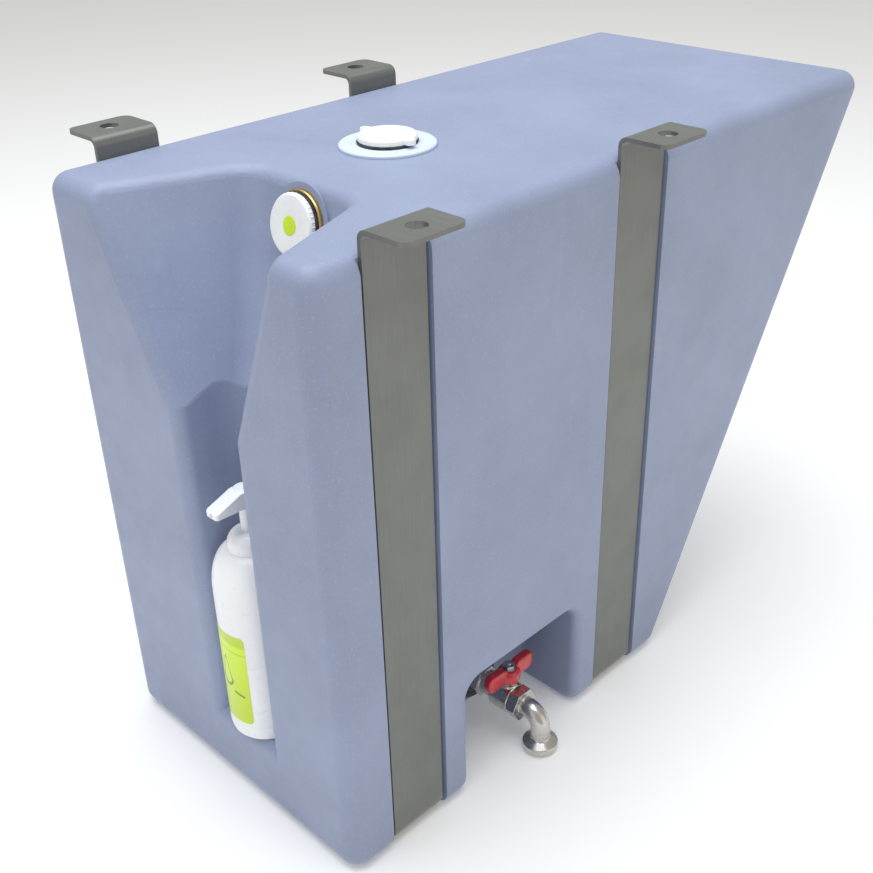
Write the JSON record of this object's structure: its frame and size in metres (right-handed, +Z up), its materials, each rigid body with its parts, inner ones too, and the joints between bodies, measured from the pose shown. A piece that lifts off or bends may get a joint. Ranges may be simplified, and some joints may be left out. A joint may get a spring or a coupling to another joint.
{
  "type": "hanging hand-wash water tank",
  "caption": "Wedge-shaped hanging water tank for hand washing, with hanger straps, two screw-cap fillers, a niche holding a soap pump bottle, and a ball-valve tap in a lower notch.",
  "frame": {"origin": "centre of the hanger bolt pattern, on the top faces of the strap flanges", "axes": "+X along the tank from the soap niche to the slanted end, -Y towards the tap side, +Z up"},
  "size_m": [0.6128, 0.348, 0.484],
  "materials": {
    "tank_plastic": "satin",
    "strap_steel": "brushed",
    "white_plastic": "satin",
    "pale_plastic": "matte",
    "yellow_green": "matte",
    "brass": "satin",
    "nickel_brass": "satin",
    "black_rubber": "matte",
    "red_paint": "gloss",
    "zinc_steel": "satin",
    "seat_plastic": "matte",
    "clear_plastic": "gloss",
    "dark_plastic": "matte"
  },
  "bodies": {
    "tank": {"tank_shell": "tank_plastic", "front_strap": "strap_steel", "rear_strap": "strap_steel", "outlet_bulkhead": "dark_plastic", "outlet_washer": "black_rubber", "outlet_locknut": "dark_plastic", "valve_body": "nickel_brass", "valve_seat_back": "seat_plastic", "valve_seat_front": "seat_plastic", "stem_packing": "seat_plastic", "gland_nut": "nickel_brass", "spout": "nickel_brass", "spout_gasket": "black_rubber", "top_neck_ring": "pale_plastic", "front_neck_ring": "brass"},
    "lever": {"valve_handle": "red_paint", "handle_nut": "zinc_steel", "valve_stem": "nickel_brass", "valve_ball": "nickel_brass"},
    "top_gasket": {"top_cap_gasket": "black_rubber"},
    "top_cap": {"top_cap": "white_plastic"},
    "front_gasket": {"front_cap_gasket": "black_rubber"},
    "front_cap": {"front_cap": "white_plastic", "front_cap_mark": "yellow_green"},
    "bottle": {"soap_bottle": "white_plastic", "bottle_label": "yellow_green"},
    "pump": {"pump_body": "white_plastic", "pump_gasket": "seat_plastic", "pump_spring": "zinc_steel", "dip_tube": "clear_plastic", "check_ball": "zinc_steel"},
    "collar": {"pump_collar": "white_plastic"},
    "plunger": {"pump_piston": "seat_plastic"},
    "pump_top": {"pump_head": "white_plastic", "pump_stem": "white_plastic"}
  },
  "joints": [
    {"name": "valve_lever", "type": "hinge", "parent": "tank", "child": "lever", "pos_m": [0.0095, -0.1145, -0.4505], "axis": [0, 0, 1], "range_deg": [0, 90]},
    {"name": "top_cap_lift", "type": "slide", "parent": "tank", "child": "top_gasket", "axis": [0, 0, 1], "range_m": [0, 0.005]},
    {"name": "top_cap_turn", "type": "hinge", "parent": "top_gasket", "child": "top_cap", "pos_m": [0.0105, 0.004, -0.0115], "axis": [0, 0, 1], "range_deg": [0, 450]},
    {"name": "front_cap_lift", "type": "slide", "parent": "tank", "child": "front_gasket", "axis": [-0.9781, 0, 0.2079], "range_m": [0, 0.005]},
    {"name": "front_cap_turn", "type": "hinge", "parent": "front_gasket", "child": "front_cap", "pos_m": [-0.08886, -0.013, -0.04196], "axis": [-0.9781, 0, 0.2079], "range_deg": [0, 450]},
    {"name": "bottle_pull", "type": "slide", "parent": "tank", "child": "bottle", "axis": [-1, 0, 0], "range_m": [0, 0.12]},
    {"name": "pump_lift", "type": "slide", "parent": "bottle", "child": "pump", "axis": [0, 0, 1], "range_m": [0, 0.006]},
    {"name": "collar_turn", "type": "hinge", "parent": "pump", "child": "collar", "pos_m": [-0.159, -0.0175, -0.259], "axis": [0, 0, 1], "range_deg": [0, 720]},
    {"name": "pump_press", "type": "slide", "parent": "pump", "child": "plunger", "axis": [0, 0, -1], "range_m": [0, 0.015], "stiffness_N_per_m": 180, "springref_m": -0.012, "deforming": ["pump_spring"]},
    {"name": "head_turn", "type": "hinge", "parent": "plunger", "child": "pump_top", "pos_m": [-0.159, -0.0175, -0.225], "axis": [0, 0, 1], "continuous": true}
  ],
  "couplings": [
    {"joint": "top_cap_turn", "follows": "top_cap_lift", "rad_per_m": 1570.8},
    {"joint": "front_cap_turn", "follows": "front_cap_lift", "rad_per_m": 1570.8},
    {"joint": "collar_turn", "follows": "pump_lift", "rad_per_m": 2094.4}
  ]
}
